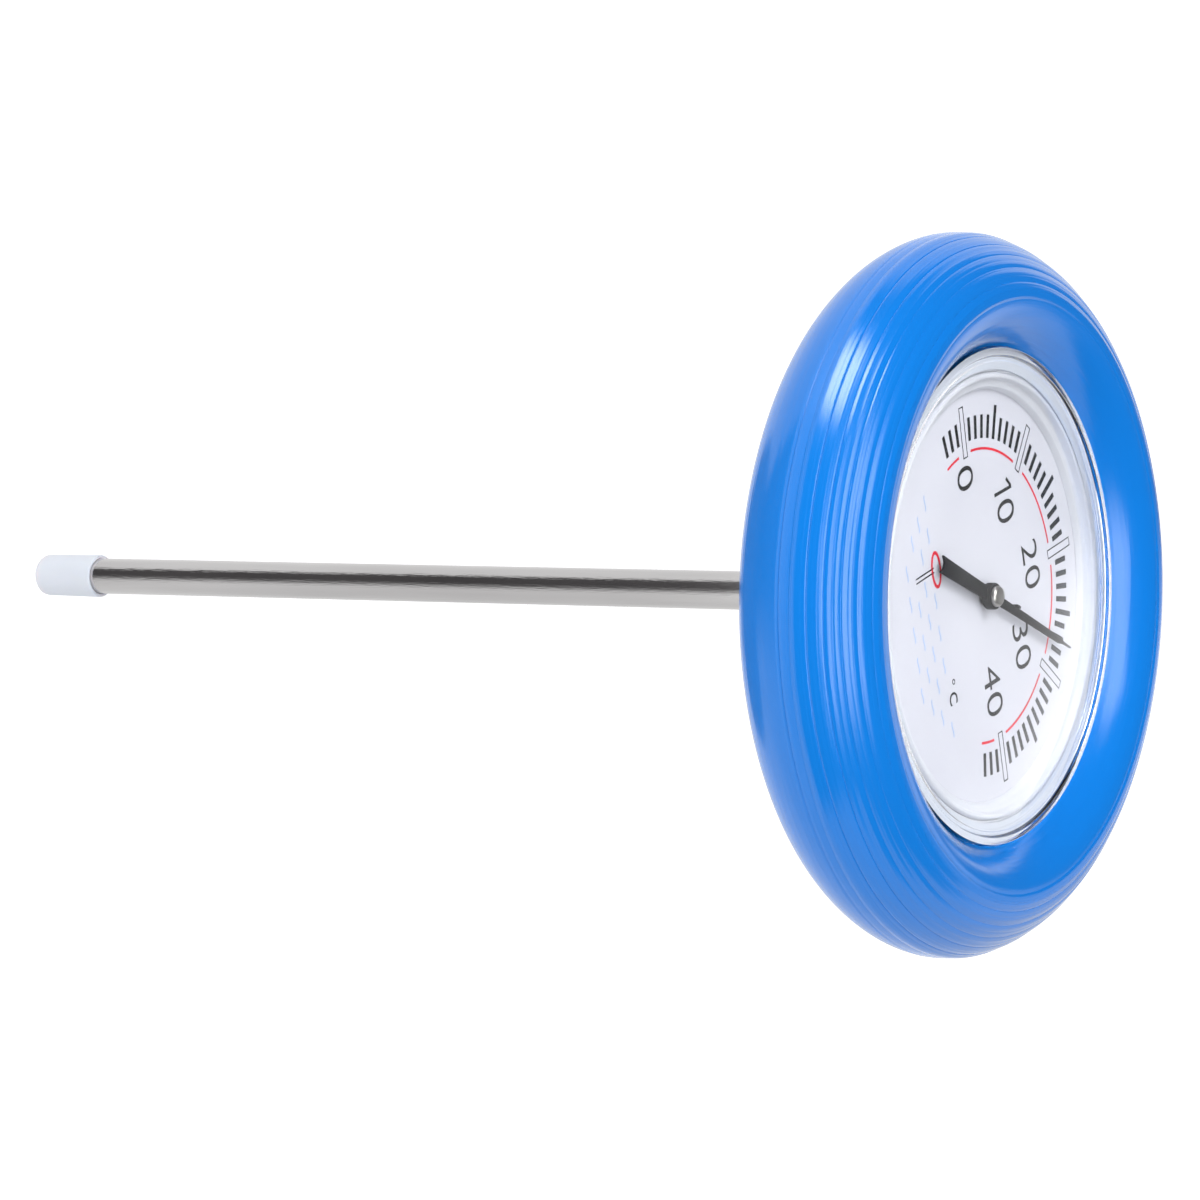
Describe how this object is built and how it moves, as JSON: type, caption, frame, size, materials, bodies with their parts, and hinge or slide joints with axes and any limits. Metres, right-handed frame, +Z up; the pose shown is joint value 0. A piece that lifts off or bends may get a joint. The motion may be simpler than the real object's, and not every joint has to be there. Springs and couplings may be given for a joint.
{
  "type": "floating pool thermometer",
  "caption": "Ring-shaped pool float with a round temperature dial under a clear lens and a long stainless sensing stem that hangs down into the water.",
  "frame": {"origin": "on the dial's axis at the waterline that the part's own mass gives it, 1.5 mm below the float's mid-plane", "axes": "+Z up out of the water along the dial's axis, the stem hangs along -Z, +Y is the dial's 12 o'clock (20 degrees), +X its 3 o'clock (40 degrees)"},
  "size_m": [0.152, 0.152, 0.2637],
  "materials": {
    "blue_float": "gloss",
    "white_plastic": "satin",
    "dial_face": "satin",
    "clear_lens": "gloss",
    "seal_rubber": "matte",
    "white_silicone": "satin",
    "black_pointer": "satin",
    "hub_steel": "satin",
    "plain_steel": "satin",
    "stem_steel": "polished",
    "brass": "satin",
    "guide_plastic": "satin",
    "bimetal": "satin"
  },
  "bodies": {
    "float_body": {"float_upper_shell": "blue_float", "float_lower_shell": "blue_float", "dial_housing": "white_plastic", "dial_retaining_ring": "white_plastic", "end_cap": "white_plastic", "dial_plate": "dial_face", "lens": "clear_lens", "stem_seal": "seal_rubber", "lens_gasket": "white_silicone", "stem_washer": "plain_steel", "stem_tube": "stem_steel", "stem_collar": "brass", "stem_nut": "brass", "upper_bush": "brass", "coil_anchor": "brass", "middle_guide": "guide_plastic", "lower_guide": "guide_plastic", "bimetal_coil": "bimetal"},
    "pointer_body": {"pointer": "black_pointer", "pointer_hub": "hub_steel", "pointer_shaft": "plain_steel", "coil_coupling": "brass"}
  },
  "joints": [
    {"name": "pointer_swing", "type": "hinge", "parent": "float_body", "child": "pointer_body", "pos_m": [0, 0, 0.0074], "axis": [0, 0, -1], "range_deg": [-137.25, 69.75], "stiffness_Nm_per_rad": 0.0005, "deforming": ["bimetal_coil"]}
  ]
}
